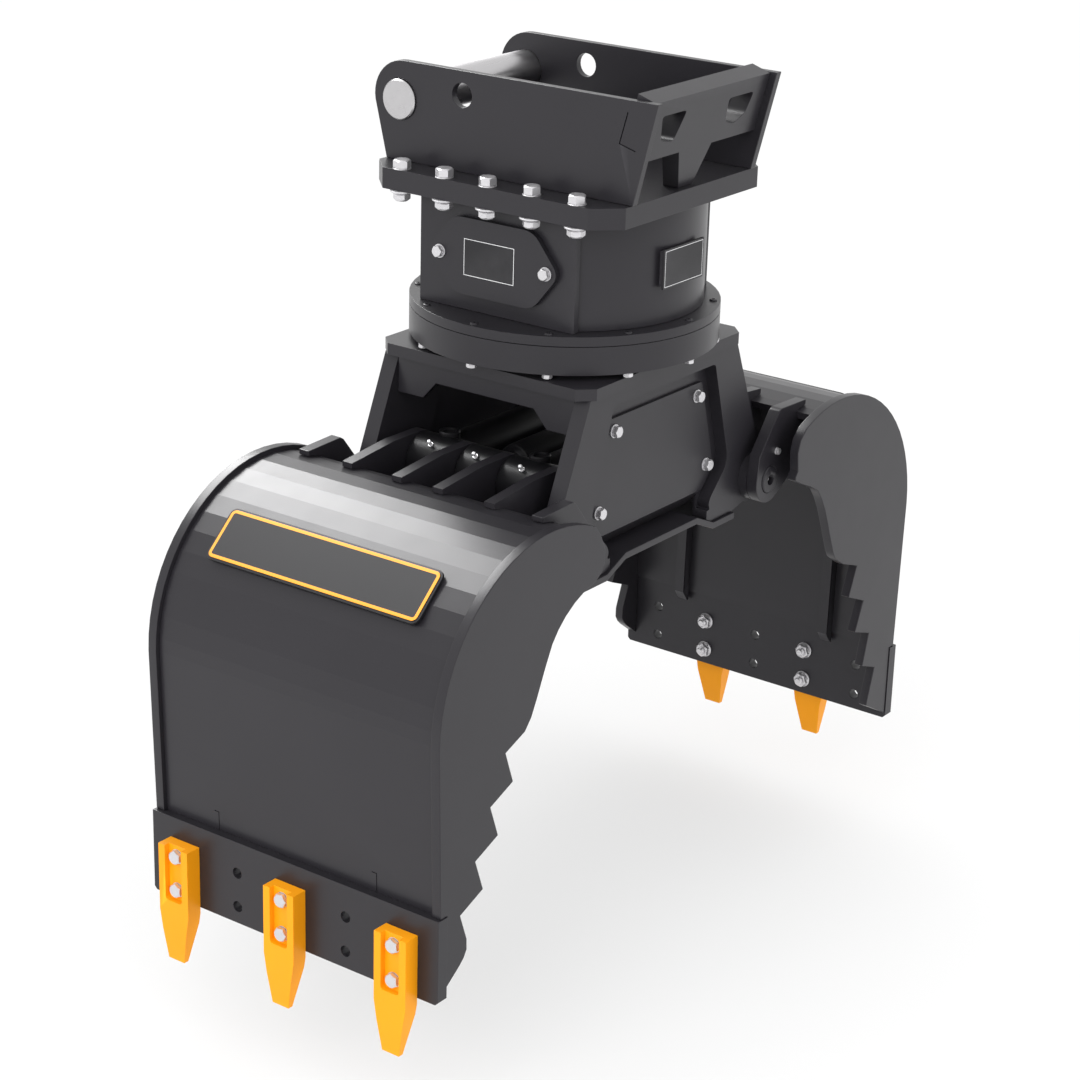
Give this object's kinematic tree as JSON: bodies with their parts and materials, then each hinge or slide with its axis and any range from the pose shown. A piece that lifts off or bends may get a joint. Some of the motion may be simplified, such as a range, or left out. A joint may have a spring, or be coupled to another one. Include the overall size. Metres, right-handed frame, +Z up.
{
  "type": "sorting grapple",
  "caption": "Hydraulic sorting grapple for a small excavator: quick hitch adapter, slewing rotator and two opposed toothed clam jaws closed by cylinders",
  "frame": {"origin": "centre of the footprint at the tooth tips, on the slewing axis", "axes": "X is the way the jaws open, Y is along the jaw width with the hitch pin on +Y, Z is up"},
  "size_m": [1.0916, 0.4496, 1.0677],
  "materials": {
    "anthracite_paint": "satin anthracite paint on steel",
    "ring_paint": "satin anthracite paint on the slew ring",
    "orange_paint": "orange paint on the bolt-on teeth",
    "zinc_plated_steel": "zinc plated bolts",
    "chromed_rod": "hard chromed piston rods",
    "cast_iron": "dark cast hydraulic housings",
    "ground_steel": "ground pin steel"
  },
  "bodies": {
    "adapter": {"adapter_base_plate": "anthracite_paint", "left_adapter_side_plate": "anthracite_paint", "right_adapter_side_plate": "anthracite_paint", "hitch_pin": "ground_steel", "wedge_beam": "anthracite_paint", "flange_bolt_left_1": "zinc_plated_steel", "flange_bolt_left_2": "zinc_plated_steel", "flange_bolt_left_3": "zinc_plated_steel", "flange_bolt_left_4": "zinc_plated_steel", "flange_bolt_left_5": "zinc_plated_steel", "flange_bolt_right_1": "zinc_plated_steel", "flange_bolt_right_2": "zinc_plated_steel", "flange_bolt_right_3": "zinc_plated_steel", "flange_bolt_right_4": "zinc_plated_steel", "flange_bolt_right_5": "zinc_plated_steel", "rotator_housing": "anthracite_paint", "left_housing_cover": "anthracite_paint", "right_housing_cover": "anthracite_paint", "upper_slew_ring": "ring_paint", "slew_motor": "cast_iron", "rotary_union": "cast_iron"},
    "frame": {"lower_slew_ring": "ring_paint", "frame_top_plate": "anthracite_paint", "near_frame_side_plate": "anthracite_paint", "far_frame_side_plate": "anthracite_paint", "near_frame_cover": "anthracite_paint", "far_frame_cover": "anthracite_paint", "left_apron": "anthracite_paint", "right_apron": "anthracite_paint", "frame_bottom_plate": "anthracite_paint"},
    "pinion": {"drive_pinion": "ground_steel"},
    "left_jaw": {"left_jaw_shell": "anthracite_paint", "left_jaw_near_side_plate": "anthracite_paint", "left_jaw_far_side_plate": "anthracite_paint", "left_cutting_plate": "anthracite_paint", "left_lever_block": "anthracite_paint", "left_jaw_near_outer_lug": "anthracite_paint", "left_jaw_far_outer_lug": "anthracite_paint", "left_pivot_pin": "ground_steel", "left_lever_pin": "ground_steel", "left_near_tooth": "orange_paint", "left_middle_tooth": "orange_paint", "left_far_tooth": "orange_paint"},
    "right_jaw": {"right_jaw_shell": "anthracite_paint", "right_jaw_near_side_plate": "anthracite_paint", "right_jaw_far_side_plate": "anthracite_paint", "right_cutting_plate": "anthracite_paint", "right_lever_block": "anthracite_paint", "right_jaw_near_outer_lug": "anthracite_paint", "right_jaw_far_outer_lug": "anthracite_paint", "right_pivot_pin": "ground_steel", "right_lever_pin": "ground_steel", "right_near_tooth": "orange_paint", "right_far_tooth": "orange_paint"},
    "near_barrel": {"cylinder_near_barrel": "anthracite_paint"},
    "near_rod": {"cylinder_near_rod": "chromed_rod"},
    "middle_barrel": {"cylinder_middle_barrel": "anthracite_paint"},
    "middle_rod": {"cylinder_middle_rod": "chromed_rod"},
    "far_barrel": {"cylinder_far_barrel": "anthracite_paint"},
    "far_rod": {"cylinder_far_rod": "chromed_rod"}
  },
  "joints": [
    {"name": "slew", "type": "hinge", "parent": "adapter", "child": "frame", "pos_m": [0, 0, 0.7602], "axis": [0, 0, 1], "continuous": true},
    {"name": "pinion_turn", "type": "hinge", "parent": "adapter", "child": "pinion", "pos_m": [0, 0.09, 0.74], "axis": [0, 0, 1], "continuous": true},
    {"name": "left_jaw_swing", "type": "hinge", "parent": "frame", "child": "left_jaw", "pos_m": [-0.2102, 0, 0.5103], "axis": [0, -1, 0], "range_deg": [0, 57.5]},
    {"name": "right_jaw_swing", "type": "hinge", "parent": "frame", "child": "right_jaw", "pos_m": [0.2102, 0, 0.5103], "axis": [0, 1, 0], "range_deg": [0, 57.6]},
    {"name": "near_barrel_pivot", "type": "hinge", "parent": "left_jaw", "child": "near_barrel", "pos_m": [-0.1574, -0.07025, 0.5744], "axis": [0, 1, 0], "range_deg": [0, 57.7]},
    {"name": "near_rod_pivot", "type": "hinge", "parent": "right_jaw", "child": "near_rod", "pos_m": [0.1574, -0.07025, 0.5744], "axis": [0, -1, 0], "range_deg": [0, 57.7]},
    {"name": "middle_barrel_pivot", "type": "hinge", "parent": "right_jaw", "child": "middle_barrel", "pos_m": [0.1574, 0, 0.5744], "axis": [0, -1, 0], "range_deg": [0, 57.7]},
    {"name": "middle_rod_pivot", "type": "hinge", "parent": "left_jaw", "child": "middle_rod", "pos_m": [-0.1574, 0, 0.5744], "axis": [0, 1, 0], "range_deg": [0, 57.7]},
    {"name": "far_barrel_pivot", "type": "hinge", "parent": "left_jaw", "child": "far_barrel", "pos_m": [-0.1574, 0.07025, 0.5744], "axis": [0, 1, 0], "range_deg": [0, 57.7]},
    {"name": "far_rod_pivot", "type": "hinge", "parent": "right_jaw", "child": "far_rod", "pos_m": [0.1574, 0.07025, 0.5744], "axis": [0, -1, 0], "range_deg": [0, 57.7]}
  ],
  "couplings": [
    {"joint": "pinion_turn", "follows": "slew", "ratio": 4},
    {"joint": "right_jaw_swing", "follows": "left_jaw_swing", "ratio": 1},
    {"joint": "near_barrel_pivot", "follows": "left_jaw_swing", "ratio": 1},
    {"joint": "near_rod_pivot", "follows": "left_jaw_swing", "ratio": 1},
    {"joint": "middle_barrel_pivot", "follows": "left_jaw_swing", "ratio": 1},
    {"joint": "middle_rod_pivot", "follows": "left_jaw_swing", "ratio": 1},
    {"joint": "far_barrel_pivot", "follows": "left_jaw_swing", "ratio": 1},
    {"joint": "far_rod_pivot", "follows": "left_jaw_swing", "ratio": 1}
  ]
}
